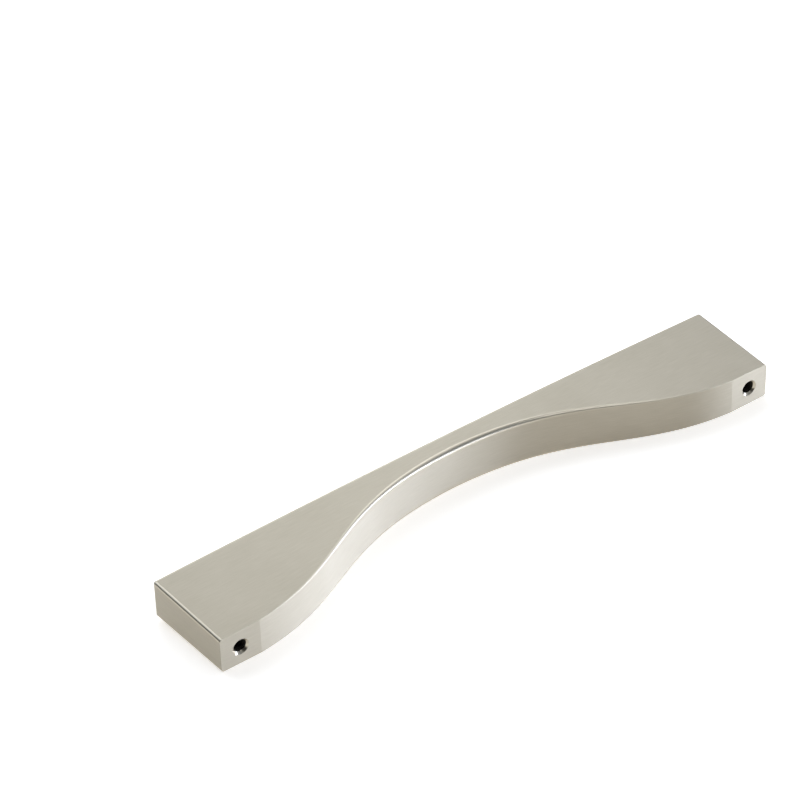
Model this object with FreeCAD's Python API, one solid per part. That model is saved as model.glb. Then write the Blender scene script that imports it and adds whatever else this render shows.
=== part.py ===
import FreeCAD, Part
import math
import os

# An arched cabinet pull, cast in one piece.
# X runs along the pull, Z is up in use, and the door or drawer face is the plane Y = 0.
# The pull stands out from it towards -Y. The origin lies midway between the two screw holes.

# Driving dimensions, in millimetres and degrees
screw_spacing = 160.0        # centre to centre of the two screw holes
screw_to_end = 5.8           # from a screw hole to the end of the pull, at the door
projection = 27.4            # from the door to the front face
end_height = 10.9            # height of the front face at its ends
middle_height = 13.4         # height of the front face halfway along
side_draft = 0.9             # lean of the upper and lower sides, which close in towards the door
end_draft = 1.4              # lean of the two ends, which close in towards the door
foot_length = 11.6           # flat part of each foot that meets the door
arch_depth = 21.1            # from the door to the crown of the arch
arch_start_angle = 5.0       # angle at which the arch leaves the foot
arch_foot_pull = 29.8        # how far the arch holds its first direction
arch_crown_pull = 39.1       # how far the arch runs level on each side of its crown
edge_round = 0.75            # round on the edges of the front face and of the ends
grip_round = 1.35            # round on the grip's inner edges at the crown
foot_round = 0.1             # the same round where it fades out at the foot
tap_drill_diameter = 3.3     # bore that an M4 thread is cut in
screw_depth = 14.0           # full-width depth of a screw hole
drill_point_angle = 118.0    # included angle of the cone at the bottom of a screw hole
mouth_diameter = 4.6         # chamfered mouth of a screw hole
mouth_angle = 90.0           # included angle of that chamfer
cut_margin = 5.0             # how far a cutting body stands clear of the pull
place_tolerance = 0.001      # how near an edge's end lies to the place that names it

os.makedirs("parts", exist_ok=True)

Vector = FreeCAD.Vector
door_side = Vector(0, 1, 0)
foot_end_x = screw_spacing / 2 + screw_to_end
arch_foot_x = foot_end_x - foot_length
side_inset = projection * math.tan(math.radians(side_draft))
end_inset = projection * math.tan(math.radians(end_draft))


def outline(y, half_length, half_height, half_height_middle):
    """Barrel outline of the pull in the plane Y = y: two bowed sides and two straight ends."""
    def corner(x_side, z_side):
        return Vector(x_side * half_length, y, z_side * half_height)

    upper_middle = Vector(0, y, half_height_middle)
    lower_middle = Vector(0, y, -half_height_middle)
    upper = Part.Arc(corner(-1, 1), upper_middle, corner(1, 1)).toShape()
    right = Part.makeLine(corner(1, 1), corner(1, -1))
    lower = Part.Arc(corner(1, -1), lower_middle, corner(-1, -1)).toShape()
    left = Part.makeLine(corner(-1, -1), corner(-1, 1))
    return Part.Wire([upper, right, lower, left])


def blank():
    """The pull before its arch and holes: a block that is widest and highest at its front face."""
    front = outline(-projection, foot_end_x + end_inset, end_height / 2, middle_height / 2)
    back = outline(0, foot_end_x, end_height / 2 - side_inset, middle_height / 2 - side_inset)
    return Part.makeLoft([front, back], True, True)


def half_arch(side):
    """One half of the arch as a curve from its foot to its crown; side is -1 or 1 along X."""
    angle = math.radians(arch_start_angle)
    foot = Vector(side * arch_foot_x, 0, 0)
    crown = Vector(0, -arch_depth, 0)
    leaving = Vector(-side * math.cos(angle), -math.sin(angle), 0) * arch_foot_pull
    arriving = Vector(side * arch_crown_pull, 0, 0)
    curve = Part.BezierCurve()
    curve.setPoles([foot, foot + leaving, crown + arriving, crown])
    return curve.toShape()


def arch_cutter():
    """The space under the arch, as a body that runs right through the pull from side to side."""
    left_foot = Vector(-arch_foot_x, 0, 0)
    right_foot = Vector(arch_foot_x, 0, 0)
    clear = door_side * cut_margin
    closing = [
        Part.makeLine(right_foot, right_foot + clear),
        Part.makeLine(right_foot + clear, left_foot + clear),
        Part.makeLine(left_foot + clear, left_foot),
    ]
    wire = Part.Wire(Part.__sortEdges__([half_arch(-1), half_arch(1)] + closing))
    reach = middle_height / 2 + cut_margin
    face = Part.Face(wire)
    face.translate(Vector(0, 0, -reach))
    return face.extrude(Vector(0, 0, 2 * reach))


def edges_between(shape, first, second, sides=(-1, 0, 1)):
    """Edges whose two ends lie at the places first and second, given as X and Y.

    sides picks the edges below (-1), across (0) or above (1) the middle of the pull's height.
    """
    found = []
    for edge in shape.Edges:
        ends = [(vertex.X, vertex.Y) for vertex in edge.Vertexes]
        joins_places = matches(ends, (first, second)) or matches(ends, (second, first))
        if joins_places and height_side(edge) in sides:
            found.append(edge)
    return found


def height_side(edge):
    """Which side of the middle of the pull's height an edge lies on: -1, 0 or 1."""
    height = edge.CenterOfMass.z
    return 0 if abs(height) < place_tolerance else int(math.copysign(1, height))


def matches(ends, places):
    """True where there are as many ends as places, and each end lies at its place."""
    close = [math.dist(end, place) < place_tolerance for end, place in zip(ends, places)]
    return len(ends) == len(places) and all(close)


def half_block():
    """The half of the block at X > 0, with its half of the arch cut out."""
    body = blank().cut(arch_cutter())
    box = body.BoundBox
    corner = Vector(0, box.YMin - cut_margin, box.ZMin - cut_margin)
    depth = box.YLength + 2 * cut_margin
    height = box.ZLength + 2 * cut_margin
    return body.common(Part.makeBox(box.XMax + cut_margin, depth, height, corner))


def round_grip_edges(half):
    """Rounds the arch's upper and lower edge, with a radius that grows from the foot to the crown."""
    foot = (arch_foot_x, 0)
    crown = (0, -arch_depth)
    for side in (-1, 1):
        edge = edges_between(half, foot, crown, [side])[0]
        start = edge.firstVertex()
        starts_at_foot = matches([(start.X, start.Y)], [foot])
        radii = (foot_round, grip_round) if starts_at_foot else (grip_round, foot_round)
        half = half.makeFillet(radii[0], radii[1], [edge])
    return half


def round_outer_edges(half):
    """Rounds the edges of the front face, and those where the end meets the two sides."""
    front_middle = (0, -projection)
    front_end = (foot_end_x + end_inset, -projection)
    door_end = (foot_end_x, 0)
    edges = edges_between(half, front_middle, front_end)
    edges += edges_between(half, front_end, front_end)
    edges += edges_between(half, front_end, door_end)
    return half.makeFillet(edge_round, edges)


def screw_hole(x):
    """Blind hole for a screw, with a chamfered mouth at the door and a drill point at its end."""
    radius = tap_drill_diameter / 2
    inwards = door_side * -1
    bore = Part.makeCylinder(radius, screw_depth, Vector(x, 0, 0), inwards)
    point_depth = radius / math.tan(math.radians(drill_point_angle / 2))
    point = Part.makeCone(radius, 0, point_depth, Vector(x, -screw_depth, 0), inwards)
    mouth_depth = (mouth_diameter / 2 - radius) / math.tan(math.radians(mouth_angle / 2))
    mouth = Part.makeCone(mouth_diameter / 2, radius, mouth_depth, Vector(x, 0, 0), inwards)
    return bore.fuse([point, mouth])


def pull_body():
    """The whole pull: one half, with its rounds and its screw hole, joined to its mirror image."""
    half = round_grip_edges(half_block())
    half = round_outer_edges(half)
    half = half.cut(screw_hole(screw_spacing / 2))
    other_half = half.mirror(Vector(0, 0, 0), Vector(1, 0, 0))
    return half.fuse(other_half).removeSplitter()


body = pull_body()
body.exportStep("parts/pull_body.step")
print("valid", body.isValid(), "solids", len(body.Solids), "volume", round(body.Volume, 1), "faces", len(body.Faces))
print("box", body.BoundBox)
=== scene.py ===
import math

import bmesh
import bpy
from bpy.props import FloatProperty, FloatVectorProperty, IntProperty, PointerProperty, StringProperty
from mathutils import Matrix, Vector


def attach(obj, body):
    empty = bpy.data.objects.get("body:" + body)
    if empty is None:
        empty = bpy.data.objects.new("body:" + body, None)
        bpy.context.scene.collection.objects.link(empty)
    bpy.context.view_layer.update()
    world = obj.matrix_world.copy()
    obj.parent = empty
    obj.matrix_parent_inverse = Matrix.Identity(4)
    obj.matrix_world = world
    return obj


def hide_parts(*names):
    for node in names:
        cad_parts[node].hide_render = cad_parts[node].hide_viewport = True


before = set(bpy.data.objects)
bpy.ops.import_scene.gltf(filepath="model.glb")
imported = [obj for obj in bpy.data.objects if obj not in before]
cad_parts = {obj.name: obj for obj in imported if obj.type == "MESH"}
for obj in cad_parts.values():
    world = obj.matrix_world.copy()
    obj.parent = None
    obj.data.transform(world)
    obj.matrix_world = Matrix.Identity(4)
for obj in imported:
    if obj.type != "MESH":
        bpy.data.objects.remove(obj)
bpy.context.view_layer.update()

bl_info = {
    "name": "Arched Cabinet Pull",
    "version": (1, 0, 0),
    "blender": (4, 5, 0),
    "location": "3D View > Sidebar > Pull",
    "description": "Builds a cast cabinet pull in brushed nickel, with its tapped holes, and a studio",
    "category": "Object",
}

MM = 0.001
BODY = "root"
CAD_NODE = "pull_body"
SAME_PLACE = 0.001 * MM    # points nearer to each other than this are one point

# How finely the meshes are divided
ACROSS = 16          # faces across the inner side and the front
ROUND_STEPS = 7      # faces round an edge
SIDE_STEPS = 10      # faces from the inner side to the front
ARCH_STEPS = 64      # slices from foot to crown
FOOT_STEPS = 14      # slices along a foot
END_STEPS = 8        # slices round an end
THREAD_STEPS = 12    # rings of faces to one turn of the thread

# Places in a piece's list of materials
BRUSHED, BUFFED = 0, 1    # the casting's
TURNED, TAPPED = 0, 1     # a screw hole's


# Settings that a user would change. Lengths are in metres.

class PullShape(bpy.types.PropertyGroup):
    screw_spacing: FloatProperty(
        name="Screw spacing", description="Centre to centre of the two screw holes",
        default=160 * MM, unit="LENGTH")
    screw_to_end: FloatProperty(
        name="Screw to end", description="From a screw hole to the end of the pull, at the door",
        default=5.8 * MM, unit="LENGTH")
    projection: FloatProperty(
        name="Projection", description="From the door to the front face",
        default=27.4 * MM, unit="LENGTH")
    end_height: FloatProperty(
        name="End height", description="Height of the front face at its ends",
        default=10.9 * MM, unit="LENGTH")
    middle_height: FloatProperty(
        name="Middle height", description="Height of the front face halfway along",
        default=13.4 * MM, unit="LENGTH")
    side_draft: FloatProperty(
        name="Side draft",
        description="Lean of the upper and lower sides, which close in towards the door",
        default=math.radians(0.9), subtype="ANGLE")
    end_draft: FloatProperty(
        name="End draft", description="Lean of the two ends, which close in towards the door",
        default=math.radians(1.4), subtype="ANGLE")
    foot_length: FloatProperty(
        name="Foot length", description="Flat part of each foot that meets the door",
        default=11.6 * MM, unit="LENGTH")
    arch_depth: FloatProperty(
        name="Arch depth", description="From the door to the crown of the arch",
        default=21.1 * MM, unit="LENGTH")
    arch_start_angle: FloatProperty(
        name="Arch start angle", description="Angle at which the arch leaves the foot",
        default=math.radians(5.0), subtype="ANGLE")
    arch_foot_pull: FloatProperty(
        name="Arch foot pull", description="How far the arch holds its first direction",
        default=29.8 * MM, unit="LENGTH")
    arch_crown_pull: FloatProperty(
        name="Arch crown pull", description="How far the arch runs level on each side of its crown",
        default=39.1 * MM, unit="LENGTH")
    edge_round: FloatProperty(
        name="Edge round", description="Round on the edges of the front face and of the ends",
        default=0.75 * MM, unit="LENGTH")
    grip_round: FloatProperty(
        name="Grip round", description="Round on the grip's inner edges at the crown",
        default=1.35 * MM, unit="LENGTH")
    foot_round: FloatProperty(
        name="Foot round",
        description="Round on the edges of the feet, which the grip's round runs out to",
        default=0.1 * MM, unit="LENGTH")


class ScrewHole(bpy.types.PropertyGroup):
    drill_diameter: FloatProperty(
        name="Drill diameter", description="Bore that the thread is cut in, which its crests keep",
        default=3.3 * MM, unit="LENGTH")
    thread_diameter: FloatProperty(
        name="Thread diameter", description="Nominal diameter of the thread, across its roots",
        default=4.0 * MM, unit="LENGTH")
    thread_pitch: FloatProperty(
        name="Thread pitch", description="Distance from one turn of the thread to the next",
        default=0.7 * MM, unit="LENGTH")
    thread_depth: FloatProperty(
        name="Thread depth", description="How far the thread runs into the hole",
        default=11.2 * MM, unit="LENGTH")
    bore_depth: FloatProperty(
        name="Bore depth", description="Full-width depth of the hole",
        default=14.0 * MM, unit="LENGTH")
    drill_point_angle: FloatProperty(
        name="Drill point angle", description="Included angle of the cone at the bottom of the hole",
        default=math.radians(118.0), subtype="ANGLE")
    mouth_diameter: FloatProperty(
        name="Mouth diameter", description="Width of the chamfered mouth",
        default=4.6 * MM, unit="LENGTH")
    segments: IntProperty(
        name="Segments", description="Number of points round the hole",
        default=64, min=16)


class NickelFinish(bpy.types.PropertyGroup):
    plate: StringProperty(
        name="Nickel plate", description="sRGB colour of the brushed nickel plate",
        default="BDB5A3")
    plate_light: StringProperty(
        name="Nickel plate, lighter",
        description="sRGB colour of the plate where the brushing is finest",
        default="C3BBAA")
    # The tapped zinc's colour is partly bare zinc dulled by oil and partly painted shade: it is
    # darkened to stand for the shade deep in the hole.
    tapped: StringProperty(
        name="Tapped zinc",
        description="sRGB colour of the bare zinc in the threads, dulled by cutting oil",
        default="3E3B35")
    # The darker colour is for random oil stains, and is darkened as painted shade like the other.
    tapped_stain_and_painted_shade: StringProperty(
        name="Tapped zinc, darker", description="sRGB colour of that zinc where the oil lies thickest",
        default="24221E")
    roughness: FloatProperty(
        name="Roughness", description="Roughness of the brushed plate",
        default=0.5, min=0.0, max=1.0, subtype="FACTOR")
    edge_roughness: FloatProperty(
        name="Edge roughness",
        description="Roughness of the plate on the rounds, which are buffed smoother",
        default=0.35, min=0.0, max=1.0, subtype="FACTOR")
    anisotropy: FloatProperty(
        name="Anisotropy",
        description="How much more the plate spreads light across the brushing than along it",
        default=0.9, min=0.0, max=1.0, subtype="FACTOR")
    edge_anisotropy: FloatProperty(
        name="Edge anisotropy", description="The same on the rounds and on turned surfaces",
        default=0.5, min=0.0, max=1.0, subtype="FACTOR")
    brush_length: FloatProperty(
        name="Brush mark length", description="Length of one brush mark",
        default=5.0 * MM, unit="LENGTH")
    brush_width: FloatProperty(
        name="Brush mark width", description="Width of one brush mark",
        default=0.3 * MM, unit="LENGTH")


class StageSettings(bpy.types.PropertyGroup):
    lens: FloatProperty(
        name="Lens", description="Focal length of the camera, in millimetres on a 36 mm sensor",
        default=158.05)
    camera_place: FloatVectorProperty(
        name="Camera place", description="Where the camera stands",
        default=(412.435 * MM, 526.564 * MM, 557.342 * MM), size=3, subtype="TRANSLATION")
    camera_azimuth: FloatProperty(
        name="Camera azimuth",
        description="Direction that the camera stands in, where 0 is in front of the pull",
        default=math.radians(144.1), subtype="ANGLE")
    camera_elevation: FloatProperty(
        name="Camera elevation", description="Height of the camera above the horizon",
        default=math.radians(37.946), subtype="ANGLE")
    camera_roll: FloatProperty(
        name="Camera roll", description="Turn of the camera about its own axis",
        default=math.radians(-1.723), subtype="ANGLE")
    floor_colour: StringProperty(
        name="Floor", description="sRGB colour of the floor",
        default="F5F3F0")
    floor_fill: FloatProperty(
        name="Floor fill", description="White that the floor shows on top of its light from the lamps",
        default=0.67, min=0.0, max=1.0, subtype="FACTOR")
    surround: FloatProperty(
        name="Surroundings",
        description="Brightness of the room round the soft boxes, where 1 is white",
        default=0.01, min=0.0)
    floor_size: FloatProperty(
        name="Floor size", description="Width and depth of the floor",
        default=14.0, unit="LENGTH")


# Shape of the pull, in millimetres. X runs along it, the door is the plane Y = 0 and Z is up in use.

def arc_rise(x, half_length, end_value, middle_value):
    """Value at x of an arc through (half_length, end_value) and (0, middle_value)."""
    rise = middle_value - end_value
    radius = (half_length ** 2 + rise ** 2) / (2 * rise)
    return middle_value - radius + math.sqrt(radius ** 2 - x ** 2)


def blend_between(a, b, share):
    """The value that lies share of the way from a to b."""
    return a + (b - a) * share


class PullForm:
    """The pull's surfaces, worked out from its sizes."""

    def __init__(self, shape):
        def mm(name):
            return getattr(shape, name) / MM

        self.depth = mm("projection")
        self.door_half_length = mm("screw_spacing") / 2 + mm("screw_to_end")
        self.foot_x = self.door_half_length - mm("foot_length")
        self.hole_x = mm("screw_spacing") / 2
        self.end_inset = self.depth * math.tan(shape.end_draft)
        self.side_inset = self.depth * math.tan(shape.side_draft)
        self.end_half = mm("end_height") / 2
        self.middle_half = mm("middle_height") / 2
        self.edge_round = mm("edge_round")
        self.grip_round = mm("grip_round")
        self.foot_round = mm("foot_round")
        angle = shape.arch_start_angle
        foot_pull = mm("arch_foot_pull")
        crown = Vector((0, -mm("arch_depth")))
        foot = Vector((self.foot_x, 0))
        self.arch_poles = [
            foot,
            foot + Vector((-math.cos(angle), -math.sin(angle))) * foot_pull,
            crown + Vector((mm("arch_crown_pull"), 0)),
            crown,
        ]

    def half_length(self, y):
        """From the middle of the pull to its end at the depth y."""
        return self.door_half_length - self.end_inset * y / self.depth

    def half_height(self, x, y):
        """From the middle of the pull's height to its upper side."""
        share = -y / self.depth
        along = x / self.half_length(y)
        front_length = self.half_length(-self.depth)
        front = arc_rise(along * front_length, front_length, self.end_half, self.middle_half)
        door = arc_rise(along * self.door_half_length, self.door_half_length,
                        self.end_half - self.side_inset, self.middle_half - self.side_inset)
        return blend_between(door, front, share)

    def arch(self, share):
        """Point of the arch, and its outward normal, at a share of the way from foot to crown."""
        a, b, c, d = self.arch_poles
        s, r = share, 1 - share
        point = a * r ** 3 + b * (3 * r * r * s) + c * (3 * r * s * s) + d * s ** 3
        along = (b - a) * r * r + (c - b) * (2 * r * s) + (d - c) * s * s
        along.normalize()
        return point, Vector((along.y, -along.x))


class Station:
    """One slice across the pull.

    inner is where the slice meets the arch or the door and normal is that surface's outward
    direction there. inset is how far the round of the end has drawn the slice in. open_foot is
    true where the slice crosses the flat of a foot, which is filled round its screw hole later.
    """

    def __init__(self, form, inner, normal, inner_round, front_x, inset=0.0, open_foot=False):
        self.form = form
        self.inner = inner
        self.normal = normal
        self.inner_round = inner_round
        self.front_x = front_x
        self.inset = inset
        self.open_foot = open_foot


ROUND_STRIPS = (1, 3, 5, 7)    # the strips of a slice that are rounds


def station_strips(station):
    """The slice's outline as eight strips of (point, distance across the brushing), in millimetres.

    They run from the inner side over the upper side to the front, and back over the lower side.
    """
    form = station.form
    inner, normal = station.inner, station.normal
    small = station.inner_round
    large = form.edge_round - station.inset
    front_y = -form.depth + station.inset

    def height(x, y):
        return form.half_height(min(abs(x), form.half_length(y)), y) - station.inset

    start = inner - normal * small
    start_height = height(*start)
    rise = []
    for i in range(ROUND_STEPS + 1):
        turn = math.pi / 2 * i / ROUND_STEPS
        place = inner - normal * small * (1 - math.cos(turn))
        z = start_height - small * (1 - math.sin(turn))
        rise.append((Vector((place.x, place.y, z)), start_height - small + small * turn))
    side = []
    end = Vector((station.front_x, front_y + large))
    for i in range(SIDE_STEPS + 1):
        place = start.lerp(end, i / SIDE_STEPS)
        side.append((Vector((place.x, place.y, height(*place))), -place.y))
    bend = []
    for i in range(ROUND_STEPS + 1):
        turn = math.pi / 2 * i / ROUND_STEPS
        y = front_y + large * (1 - math.sin(turn))
        z = height(station.front_x, y) - large * (1 - math.cos(turn))
        bend.append((Vector((station.front_x, y, z)), -end.y + large * turn))

    def straight(a, b):
        return [(a.lerp(b, i / ACROSS), a.lerp(b, i / ACROSS).z) for i in range(ACROSS + 1)]

    def below(strip):
        return [(Vector((p.x, p.y, -p.z)), -v) for p, v in reversed(strip)]

    inside = straight(Vector((1, 1, -1)) * rise[0][0], rise[0][0])
    front = straight(bend[-1][0], Vector((1, 1, -1)) * bend[-1][0])
    return [inside, rise, side, bend, front, below(bend), below(side), below(rise)]


def half_stations(form):
    """Slices from the end of the pull at X > 0 to its crown, in order."""
    to_door = Vector((0, 1))
    # For each slice of the foot, how far it lies from the end and how far the end's round draws it in
    places = []
    for i in range(END_STEPS, 0, -1):
        turn = math.pi / 2 * i / END_STEPS
        places.append((form.edge_round * (1 - math.sin(turn)), form.edge_round * (1 - math.cos(turn))))
    flat = form.door_half_length - form.foot_x - form.edge_round
    places += [(form.edge_round + flat * i / FOOT_STEPS, 0.0) for i in range(FOOT_STEPS)]
    stations = []
    for n, (back, inset) in enumerate(places):
        lean = min(1.0, 1 - (back - form.edge_round) / flat)
        front_x = form.door_half_length + form.end_inset * lean - back
        inner = Vector((form.door_half_length - back, 0))
        stations.append(Station(form, inner, to_door, form.foot_round, front_x, inset, open_foot=n > 0))
    for i in range(ARCH_STEPS + 1):
        share = i / ARCH_STEPS
        point, normal = form.arch(share)
        size = blend_between(form.grip_round, form.foot_round, point.x / form.foot_x)
        stations.append(Station(form, point, to_door if i == 0 else normal, size, point.x))
    return stations


def mirror_strips(strips):
    """The same strips for the slice on the other side of the crown."""
    return [[(Vector((-p.x, p.y, p.z)), v) for p, v in strip] for strip in strips]


def casting_mesh(form, hole):
    """The casting's mesh: slices joined from end to end, flat ends, and feet with a round opening."""
    half = half_stations(form)
    slices = [(station, station_strips(station)) for station in half]
    slices += [(station, mirror_strips(strips)) for station, strips in reversed(slices[:-1])]

    bm = bmesh.new()
    grain = bm.loops.layers.uv.new("grain")
    rows = []
    for station, strips in slices:
        row = []
        for k, strip in enumerate(strips):
            row.append([])
            for i, (point, across) in enumerate(strip):
                if k > 0 and i == 0:
                    vert = row[k - 1][-1][0]
                elif k == len(strips) - 1 and i == len(strip) - 1:
                    vert = row[0][0][0]
                elif k == 0 and station.open_foot and 0 < i < ACROSS:
                    vert = None
                else:
                    vert = bm.verts.new(point * MM)
                row[k].append((vert, across))
        rows.append(row)

    def add_face(verts, uvs, material=BRUSHED):
        face = bm.faces.new(verts)
        face.smooth = True
        face.material_index = material
        for loop, uv in zip(face.loops, uvs):
            loop[grain].uv = uv

    for n, (first, second) in enumerate(zip(rows, rows[1:])):
        round_end = n < END_STEPS or n >= len(rows) - 1 - END_STEPS
        for k, (strip_a, strip_b) in enumerate(zip(first, second)):
            for i in range(len(strip_a) - 1):
                corners = [strip_a[i], strip_a[i + 1], strip_b[i + 1], strip_b[i]]
                if any(vert is None for vert, across in corners):
                    continue
                add_face([vert for vert, across in corners],
                         [(vert.co.x, across * MM) for vert, across in corners],
                         BUFFED if round_end or k in ROUND_STRIPS else BRUSHED)

    for row, order in ((rows[0], -1), (rows[-1], 1)):
        outline = [vert for strip in row for vert, across in strip[:-1]][::order]
        add_face(outline, [(vert.co.y, vert.co.z) for vert in outline])

    for side, foot_rows in ((1, rows), (-1, rows[::-1])):
        fill_foot(bm, grain, form, hole, side, foot_rows)
    bmesh.ops.remove_doubles(bm, verts=bm.verts, dist=SAME_PLACE)
    bmesh.ops.recalc_face_normals(bm, faces=bm.faces)
    return bm


def ring_points(centre_x, radius, count):
    """Points round a circle on the plane of the door."""
    points = []
    for i in range(count):
        angle = 2 * math.pi * i / count
        points.append(Vector((centre_x + radius * math.cos(angle), 0, radius * math.sin(angle))))
    return points


def fill_foot(bm, grain, form, hole, side, rows):
    """Fills the flat face of one foot, round the mouth of its screw hole."""
    last = END_STEPS + FOOT_STEPS
    upper = [row[0][-1][0] for row in rows[:last + 1]]
    lower = [row[0][0][0] for row in rows[:last + 1]]
    end_row = [vert for vert, across in rows[0][0]]
    crease_row = [vert for vert, across in rows[last][0]]
    outline = end_row + upper[1:-1] + crease_row[::-1] + lower[1:-1][::-1]
    ring = ring_points(side * form.hole_x, hole.mouth_diameter / 2 / MM, hole.segments)
    mouth = [bm.verts.new(point * MM) for point in ring]
    edges = []
    for loop in (outline, mouth):
        for a, b in zip(loop, loop[1:] + loop[:1]):
            edge = bm.edges.get((a, b)) or bm.edges.new((a, b))
            edge.smooth = False
            edges.append(edge)
    made = bmesh.ops.triangle_fill(bm, use_beauty=True, use_dissolve=False, edges=edges)
    for face in made["geom"]:
        if isinstance(face, bmesh.types.BMFace):
            face.smooth = True
            for loop in face.loops:
                loop[grain].uv = (loop.vert.co.x, loop.vert.co.z)


def thread_share(turns):
    """How deep a thread's groove is cut at a place along it, from 0 at a crest to 1 at a root.

    A metric thread's crests in a nut are a quarter of the pitch wide, and its roots an eighth.
    """
    from_root = abs(turns % 1.0 - 0.5)
    return max(0.0, min(1.0, (3 / 8 - from_root) / (3 / 8 - 1 / 16)))


def hole_mesh(centre_x, hole):
    """The wall of one screw hole: chamfered mouth, thread, plain end and drill point."""
    crest, root = hole.drill_diameter / 2, hole.thread_diameter / 2
    mouth, count = hole.mouth_diameter / 2, hole.segments
    chamfer_depth = mouth - crest
    steps = math.ceil(hole.thread_depth / hole.thread_pitch) * THREAD_STEPS
    depths = [i * hole.thread_pitch / THREAD_STEPS for i in range(steps + 1)]
    depths.append(hole.bore_depth)

    bm = bmesh.new()
    grain = bm.loops.layers.uv.new("grain")
    rows = []
    for depth in depths:
        run_out = max(0.0, min(1.0, (hole.thread_depth - depth) / hole.thread_pitch))
        row = []
        for i in range(count):
            share = thread_share(depth / hole.thread_pitch - i / count) * run_out
            radius = max(blend_between(crest, root, share), mouth - depth)
            angle = 2 * math.pi * i / count
            place = (centre_x + radius * math.cos(angle), -depth, radius * math.sin(angle))
            row.append(bm.verts.new(place))
        rows.append(row)
    point_depth = crest / math.tan(hole.drill_point_angle / 2)
    tip = bm.verts.new((centre_x, -hole.bore_depth - point_depth, 0))

    for lower_depth, upper, lower in zip(depths[1:], rows, rows[1:]):
        # Below the chamfer, the wall takes the tapped zinc, whose dark colour is partly painted shade.
        material = TURNED if lower_depth <= chamfer_depth + SAME_PLACE else TAPPED
        for i in range(count):
            j = (i + 1) % count
            face = bm.faces.new((upper[i], upper[j], lower[j], lower[i]))
            face.smooth = True
            face.material_index = material
            for loop, turn in zip(face.loops, (i, i + 1, i + 1, i)):
                loop[grain].uv = (2 * math.pi * crest * turn / count, loop.vert.co.y)
    for i in range(count):
        face = bm.faces.new((rows[-1][i], rows[-1][(i + 1) % count], tip))
        face.smooth = True
        face.material_index = TAPPED
        bm.edges.get((rows[-1][i], rows[-1][(i + 1) % count])).smooth = False
    bmesh.ops.recalc_face_normals(bm, faces=bm.faces)
    return bm


# Materials

PATCHES_PER_METRE = 90.0     # a patch of evenly brushed plate is about 11 mm across
PATCH_SHARE = 0.3            # how much of the plate's unevenness is patches, where the rest is marks
NOISE_RANGE = (0.36, 0.64)   # what most of those two noises' mix lies between
ROUGHNESS_SPREAD = 0.01      # how far the finest and the coarsest brushing lie from the mean
BUMP_HEIGHT = 0.02 * MM      # from the bottom of a brush mark to its top
ACROSS_THE_MARKS = 0.25      # a quarter turn, which makes light spread across the marks
RING_LENGTH = 4.0 * MM       # how far a cutter's ring runs before it changes
RING_SPACING = 0.05 * MM     # from one of the cutter's rings to the next
TURNED_ROUGHNESS = 0.3
STAINS_PER_METRE = 1200.0    # an oil stain is about 0.8 mm across
TAPPED_ROUGHNESS = 0.55


def linear(hex_colour):
    """A linear colour with full alpha from an sRGB hex value such as BDB5A3."""
    channels = [int(hex_colour[i:i + 2], 16) / 255 for i in (0, 2, 4)]
    return [c / 12.92 if c <= 0.04045 else ((c + 0.055) / 1.055) ** 2.4 for c in channels] + [1.0]


def add_node(material, kind, settings=None, inputs=None):
    """Adds a node. settings are its own options, and inputs are values or sockets to link."""
    node = material.node_tree.nodes.new(kind)
    for name, value in (settings or {}).items():
        setattr(node, name, value)
    for name, value in (inputs or {}).items():
        if isinstance(value, bpy.types.NodeSocket):
            material.node_tree.links.new(value, node.inputs[name])
        else:
            node.inputs[name].default_value = value
    return node


def new_material(name):
    """A material without nodes."""
    material = bpy.data.materials.new(name)
    material.use_nodes = True
    material.node_tree.nodes.clear()
    return material


def finish_material(material, shader):
    """Links a shader to the material's output."""
    add_node(material, "ShaderNodeOutputMaterial", inputs={"Surface": shader})
    return material


def brushed_nickel_plate(finish):
    """Satin nickel plate, brushed with a fine belt along the pull.

    To the eye it is a warm grey metal without mirror images: it spreads light widely across the
    brushing and little along it, and shows faint, fine streaks.
    """
    return nickel_plate("satin_nickel_plate_brushed", finish, finish.roughness, finish.anisotropy)


def buffed_nickel_plate(finish):
    """The same plate on the rounds, where belt and handling leave it smoother, with crisper lights."""
    return nickel_plate(
        "satin_nickel_plate_buffed", finish, finish.edge_roughness, finish.edge_anisotropy)


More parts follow.
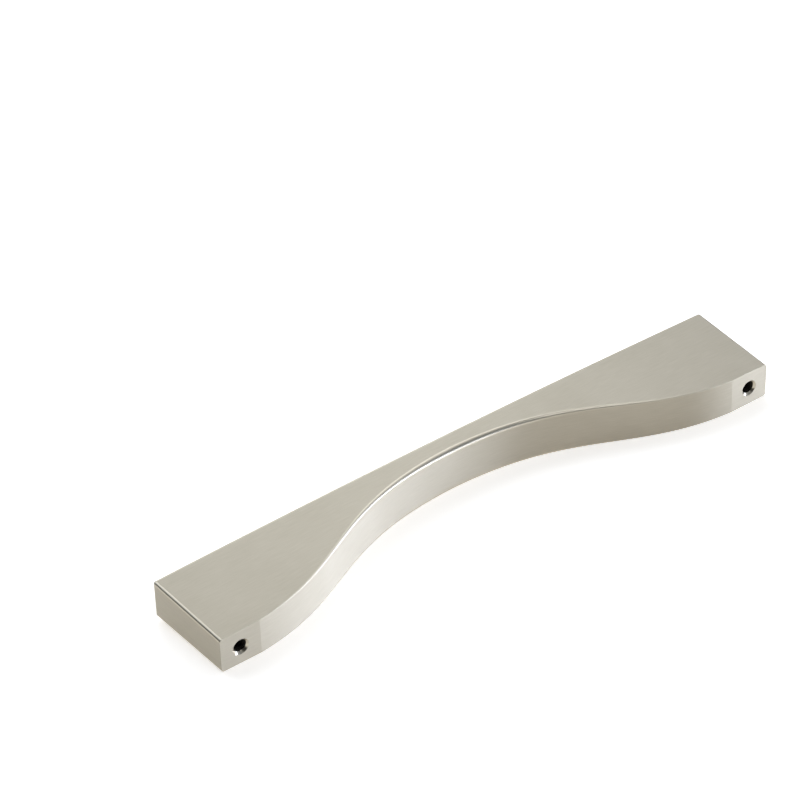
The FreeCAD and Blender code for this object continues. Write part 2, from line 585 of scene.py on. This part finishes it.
def nickel_plate(name, finish, roughness, anisotropy):
    """Satin nickel plate with fine marks along the pull, which differ a little in colour and gloss."""
    material = new_material(name)
    grain = add_node(material, "ShaderNodeUVMap", {"uv_map": "grain"})
    marks = add_node(material, "ShaderNodeMapping", inputs={
        "Vector": grain.outputs["UV"],
        "Scale": (1 / finish.brush_length, 1 / finish.brush_width, 1.0)})
    # A real belt leaves marks about 0.05 mm wide. They are drawn six times as coarse, to show.
    streaks = add_node(material, "ShaderNodeTexNoise", inputs={
        "Vector": marks.outputs["Vector"], "Scale": 1.0, "Detail": 3.0, "Roughness": 0.6})
    place = add_node(material, "ShaderNodeTexCoord")
    patches = add_node(material, "ShaderNodeTexNoise", inputs={
        "Vector": place.outputs["Object"], "Scale": PATCHES_PER_METRE, "Detail": 2.0})
    brushing = add_node(material, "ShaderNodeMix", {"data_type": "FLOAT"}, {
        0: PATCH_SHARE, 2: streaks.outputs["Fac"], 3: patches.outputs["Fac"]})
    fineness = add_node(material, "ShaderNodeMapRange", inputs={
        "Value": brushing.outputs[0], "From Min": NOISE_RANGE[0], "From Max": NOISE_RANGE[1]})
    colour = add_node(material, "ShaderNodeMix", {"data_type": "RGBA"}, {
        0: fineness.outputs["Result"], 6: linear(finish.plate), 7: linear(finish.plate_light)})
    rough = add_node(material, "ShaderNodeMapRange", inputs={
        "Value": fineness.outputs["Result"],
        "To Min": roughness + ROUGHNESS_SPREAD, "To Max": roughness - ROUGHNESS_SPREAD})
    bump = add_node(material, "ShaderNodeBump", inputs={
        "Height": streaks.outputs["Fac"], "Strength": 0.05, "Distance": BUMP_HEIGHT})
    tangent = add_node(material, "ShaderNodeTangent", {"direction_type": "UV_MAP", "uv_map": "grain"})
    shader = add_node(material, "ShaderNodeBsdfPrincipled", inputs={
        "Base Color": colour.outputs[2], "Roughness": rough.outputs["Result"],
        "Normal": bump.outputs["Normal"], "Tangent": tangent.outputs["Tangent"],
        "Metallic": 1.0, "Anisotropic": anisotropy, "Anisotropic Rotation": ACROSS_THE_MARKS})
    return finish_material(material, shader.outputs["BSDF"])


def turned_nickel_plate(finish):
    """Satin nickel plate over a turned chamfer: bright, with fine rings left by the cutter."""
    material = new_material("satin_nickel_plate_turned")
    grain = add_node(material, "ShaderNodeUVMap", {"uv_map": "grain"})
    marks = add_node(material, "ShaderNodeMapping", inputs={
        "Vector": grain.outputs["UV"], "Scale": (1 / RING_LENGTH, 1 / RING_SPACING, 1.0)})
    rings = add_node(material, "ShaderNodeTexNoise", inputs={
        "Vector": marks.outputs["Vector"], "Scale": 1.0})
    colour = add_node(material, "ShaderNodeMix", {"data_type": "RGBA"}, {
        0: rings.outputs["Fac"], 6: linear(finish.plate), 7: linear(finish.plate_light)})
    tangent = add_node(material, "ShaderNodeTangent", {"direction_type": "UV_MAP", "uv_map": "grain"})
    shader = add_node(material, "ShaderNodeBsdfPrincipled", inputs={
        "Base Color": colour.outputs[2], "Tangent": tangent.outputs["Tangent"],
        "Roughness": TURNED_ROUGHNESS, "Metallic": 1.0,
        "Anisotropic": finish.edge_anisotropy, "Anisotropic Rotation": ACROSS_THE_MARKS})
    return finish_material(material, shader.outputs["BSDF"])


def oiled_zinc_and_painted_shade(finish):
    """Bare zinc in the tapped thread, which the plate hardly reaches and cutting oil has dulled. Its
    colours are darker than that zinc, as painted shade of the deep hole.

    To the eye it is a dark metal with small stains, which is nearly black deep in the hole, partly
    through that painted shade.
    """
    material = new_material("tapped_zinc_oiled_and_painted_shade")
    place = add_node(material, "ShaderNodeTexCoord")
    stains = add_node(material, "ShaderNodeTexNoise", inputs={
        "Vector": place.outputs["Object"], "Scale": STAINS_PER_METRE, "Detail": 3.0})
    # Random oil stains between two zinc colours, both darkened as painted shade of the hole.
    colour = add_node(material, "ShaderNodeMix", {"data_type": "RGBA"}, {
        0: stains.outputs["Fac"], 6: linear(finish.tapped), 7: linear(finish.tapped_stain_and_painted_shade)})
    shader = add_node(material, "ShaderNodeBsdfPrincipled", inputs={
        "Base Color": colour.outputs[2], "Roughness": TAPPED_ROUGHNESS, "Metallic": 1.0})
    return finish_material(material, shader.outputs["BSDF"])


def material_named(name, make):
    """The material of that name, made once."""
    return bpy.data.materials.get(name) or make(bpy.context.scene.nickel_finish)


def add_piece(name, bm, materials):
    """Turns a mesh into a piece of the pull, which rides on its body and has the plated finish."""
    mesh = bpy.data.meshes.new(name)
    bm.to_mesh(mesh)
    bm.free()
    piece = bpy.data.objects.new(name, mesh)
    bpy.context.scene.collection.objects.link(piece)
    for material in materials:
        mesh.materials.append(material)
    weighted = piece.modifiers.new("even_flats", "WEIGHTED_NORMAL")
    weighted.mode = "FACE_AREA"
    weighted.weight = 100
    weighted.keep_sharp = True
    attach(piece, BODY)
    return piece


class PULL_OT_casting(bpy.types.Operator):
    """Build the casting: front bar, two feet and the arch, in brushed satin nickel"""
    bl_idname = "pull.casting"
    bl_label = "Casting"

    def execute(self, context):
        form = PullForm(context.scene.pull_shape)
        bm = casting_mesh(form, context.scene.screw_hole)
        piece = add_piece("casting", bm, [
            material_named("satin_nickel_plate_brushed", brushed_nickel_plate),
            material_named("satin_nickel_plate_buffed", buffed_nickel_plate)])
        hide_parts(CAD_NODE)
        return {"FINISHED"}


class PULL_OT_screw_holes(bpy.types.Operator):
    """Build the walls of the two tapped screw holes, with their chamfered mouths"""
    bl_idname = "pull.screw_holes"
    bl_label = "Screw Holes"

    def execute(self, context):
        half_spacing = context.scene.pull_shape.screw_spacing / 2
        for name, x in (("screw_hole_left", -half_spacing), ("screw_hole_right", half_spacing)):
            # Each hole has turned plate at its mouth and, below it, tapped zinc whose dark colour is
            # partly painted shade.
            add_piece(name, hole_mesh(x, context.scene.screw_hole), [
                material_named("satin_nickel_plate_turned", turned_nickel_plate),
                material_named("tapped_zinc_oiled_and_painted_shade", oiled_zinc_and_painted_shade)])
        return {"FINISHED"}


def floor_material(stage):
    """Matt white board. It looks white to the eye and in the metal, and keeps the pull's shadow."""
    material = new_material("matt_white_board")
    colour = linear(stage.floor_colour)
    matt = add_node(material, "ShaderNodeBsdfDiffuse", inputs={"Color": colour})
    path = add_node(material, "ShaderNodeLightPath")
    mirrored = add_node(material, "ShaderNodeMath", {"operation": "MAXIMUM"}, {
        0: path.outputs["Is Glossy Ray"], 1: path.outputs["Is Transmission Ray"]})
    seen = add_node(material, "ShaderNodeMath", {"operation": "MAXIMUM"}, {
        0: path.outputs["Is Camera Ray"], 1: mirrored.outputs[0]})
    strength = add_node(material, "ShaderNodeMath", {"operation": "MULTIPLY"}, {
        0: seen.outputs[0], 1: stage.floor_fill})
    fill = add_node(material, "ShaderNodeEmission", inputs={
        "Color": colour, "Strength": strength.outputs[0]})
    white = add_node(material, "ShaderNodeAddShader", inputs={0: matt.outputs[0], 1: fill.outputs[0]})
    return finish_material(material, white.outputs[0])


SURROUND_COLOUR = "FFF0DC"
SENSOR_WIDTH = 36.0    # millimetres

# The soft boxes: name, azimuth from +X towards +Y and elevation in degrees, distance, width and height
# in metres, radiance, where 1 is white, and sRGB colour.
SOFT_BOXES = (
    ("strip_box", 150, 3, 5.0, 4.8, 0.5, 39.47, "D8E4FF"),
    ("side_box", 117, 3, 5.0, 2.0, 0.5, 31.83, "DCE8FF"),
    ("back_box", 230, 41, 1.2, 0.9, 1.1, 1.248, "E8EDF4"),
    ("corner_box", 263, 42, 1.2, 1.2, 1.3, 1.477, "E8EDF4"),
    ("over_box", 184, 54, 1.2, 0.8, 0.5, 1.248, "F0F4FA"),
    ("front_box", 150, 32, 1.5, 0.9, 0.6, 0.509, "F0F4FA"),
    ("window_box", 97, 62, 1.5, 0.4, 0.5, 5.984, "F0F4FA"),
    ("end_box", 300, 38, 1.2, 0.9, 0.7, 1.273, "E8F2FF"),
)


class PULL_OT_stage(bpy.types.Operator):
    """Set up the floor, the soft boxes, the surroundings and the camera"""
    bl_idname = "pull.stage"
    bl_label = "Stage"

    def execute(self, context):
        scene = context.scene
        stage = scene.pull_stage
        self.add_floor(scene, stage)
        for box in SOFT_BOXES:
            self.add_soft_box(scene, *box)
        world = bpy.data.worlds.new("studio")
        world.use_nodes = True
        background = world.node_tree.nodes["Background"]
        background.inputs["Color"].default_value = linear(SURROUND_COLOUR)
        background.inputs["Strength"].default_value = stage.surround
        scene.world = world
        scene.view_settings.view_transform = "Standard"
        self.add_camera(scene, stage)
        return {"FINISHED"}

    def add_floor(self, scene, stage):
        """The board that the pull lies on, through the front of the crown and the ends of the feet.

        Between them, the lower edge of the arch lies up to 0.5 mm below the board.
        """
        form = PullForm(scene.pull_shape)
        foot_drop = form.half_height(form.door_half_length, 0)
        slope = math.atan2(form.middle_half - foot_drop, form.depth)
        bm = bmesh.new()
        bmesh.ops.create_grid(bm, x_segments=1, y_segments=1, size=stage.floor_size / 2)
        mesh = bpy.data.meshes.new("floor")
        bm.to_mesh(mesh)
        bm.free()
        floor = bpy.data.objects.new("floor", mesh)
        mesh.materials.append(floor_material(stage))
        floor.location = (0, 0, -foot_drop * MM)
        floor.rotation_euler = (slope, 0, 0)
        scene.collection.objects.link(floor)

    def add_soft_box(self, scene, name, azimuth, elevation, distance, width, height, radiance, colour):
        """A flat lamp that faces the pull. Its power follows from its radiance and its area."""
        azimuth, elevation = math.radians(azimuth), math.radians(elevation)
        away = Vector((math.cos(azimuth) * math.cos(elevation),
                       math.sin(azimuth) * math.cos(elevation), math.sin(elevation)))
        data = bpy.data.lights.new(name, "AREA")
        data.shape = "RECTANGLE"
        data.size = width
        data.size_y = height
        data.energy = math.pi * radiance * width * height
        data.color = linear(colour)[:3]
        lamp = bpy.data.objects.new(name, data)
        lamp.location = away * distance
        lamp.rotation_euler = away.to_track_quat("Z", "Y").to_euler()
        scene.collection.objects.link(lamp)

    def add_camera(self, scene, stage):
        """The camera, at the place and turn that its settings say."""
        data = bpy.data.cameras.new("camera")
        data.sensor_width = SENSOR_WIDTH
        data.lens = stage.lens
        camera = bpy.data.objects.new("camera", data)
        scene.collection.objects.link(camera)
        azimuth, elevation = stage.camera_azimuth, stage.camera_elevation
        back = Vector((math.sin(azimuth) * math.cos(elevation),
                       -math.cos(azimuth) * math.cos(elevation), math.sin(elevation)))
        turn = back.to_track_quat("Z", "Y").to_matrix() @ Matrix.Rotation(stage.camera_roll, 3, "Z")
        camera.matrix_world = Matrix.Translation(stage.camera_place) @ turn.to_4x4()
        scene.camera = camera


class PULL_PT_panel(bpy.types.Panel):
    """The pull's settings and the steps that build it"""
    bl_idname = "PULL_PT_panel"
    bl_label = "Cabinet Pull"
    bl_space_type = "VIEW_3D"
    bl_region_type = "UI"
    bl_category = "Pull"

    def draw(self, context):
        scene = context.scene
        for settings, operators in (
            (scene.pull_shape, (PULL_OT_casting,)),
            (scene.screw_hole, (PULL_OT_screw_holes,)),
            (scene.nickel_finish, ()),
            (scene.pull_stage, (PULL_OT_stage,)),
        ):
            column = self.layout.column(align=True)
            for name in settings.__annotations__:
                column.prop(settings, name)
            for operator in operators:
                column.operator(operator.bl_idname)


SETTINGS = {
    "pull_shape": PullShape,
    "screw_hole": ScrewHole,
    "nickel_finish": NickelFinish,
    "pull_stage": StageSettings,
}
CLASSES = (*SETTINGS.values(), PULL_OT_casting, PULL_OT_screw_holes, PULL_OT_stage, PULL_PT_panel)


def register():
    for cls in CLASSES:
        bpy.utils.register_class(cls)
    for name, cls in SETTINGS.items():
        setattr(bpy.types.Scene, name, PointerProperty(type=cls))


def unregister():
    for name in SETTINGS:
        delattr(bpy.types.Scene, name)
    for cls in reversed(CLASSES):
        bpy.utils.unregister_class(cls)


def main():
    register()
    bpy.ops.pull.casting()
    bpy.ops.pull.screw_holes()
    bpy.ops.pull.stage()


if __name__ == "__main__":
    main()
